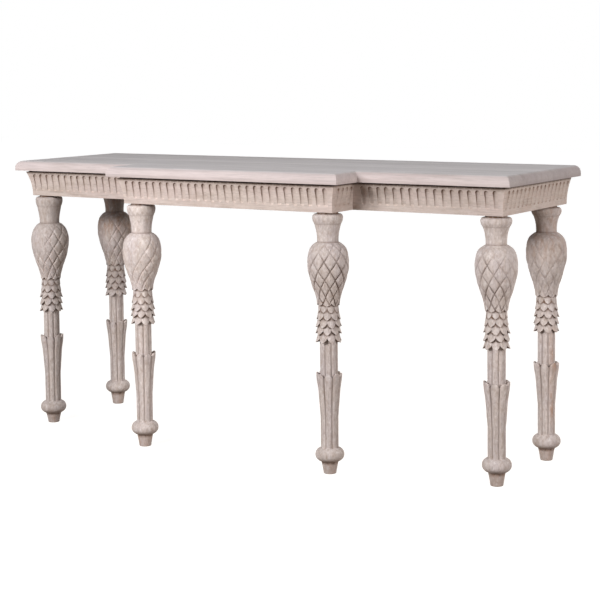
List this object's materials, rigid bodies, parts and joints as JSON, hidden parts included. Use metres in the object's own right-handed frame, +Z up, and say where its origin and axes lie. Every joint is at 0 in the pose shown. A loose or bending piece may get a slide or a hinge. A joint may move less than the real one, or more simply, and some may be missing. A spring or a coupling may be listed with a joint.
{
  "type": "pier table",
  "caption": "Long breakfront pier table: moulded plank top on a hollow-faced fluted frieze, standing on turned legs carved with a lattice bulb, scales and leaves.",
  "frame": {"origin": "on the floor, under the middle of the top's footprint", "axes": "+X along the table's length, to the right when facing its front; +Y towards the wall; +Z up"},
  "size_m": [1.75, 0.598, 0.86],
  "materials": {
    "top_wood": "limed and bleached, matt, greyed on the upper face",
    "frieze_wood": "limed, matt, pale ridges and brown hollows",
    "leg_wood": "limed, hand carved, brown left in the cuts",
    "rail_wood": "plain sawn and planed",
    "block_wood": "plain sawn",
    "joint_wood": "plain planed",
    "screw_steel": "dull"
  },
  "bodies": {
    "root": {"top_board_front": "top_wood", "top_board_1": "top_wood", "top_board_2": "top_wood", "top_board_3": "top_wood", "top_board_4": "top_wood", "top_board_5": "top_wood", "frieze_centre": "frieze_wood", "frieze_left": "frieze_wood", "frieze_right": "frieze_wood", "frieze_return_left": "frieze_wood", "frieze_return_right": "frieze_wood", "frieze_end_left": "frieze_wood", "frieze_end_right": "frieze_wood", "leg_front_left": "leg_wood", "leg_front_right": "leg_wood", "leg_centre_left": "leg_wood", "leg_centre_right": "leg_wood", "leg_rear_left": "leg_wood", "leg_rear_right": "leg_wood", "rear_rail": "rail_wood", "cross_rail_left": "rail_wood", "cross_rail_right": "rail_wood", "leg_block_front_left": "block_wood", "leg_block_front_right": "block_wood", "leg_block_centre_left": "block_wood", "leg_block_centre_right": "block_wood", "leg_block_rear_left": "block_wood", "leg_block_rear_right": "block_wood", "top_tongues": "joint_wood", "mitre_splines": "joint_wood", "top_screws": "screw_steel"}
  },
  "joints": []
}
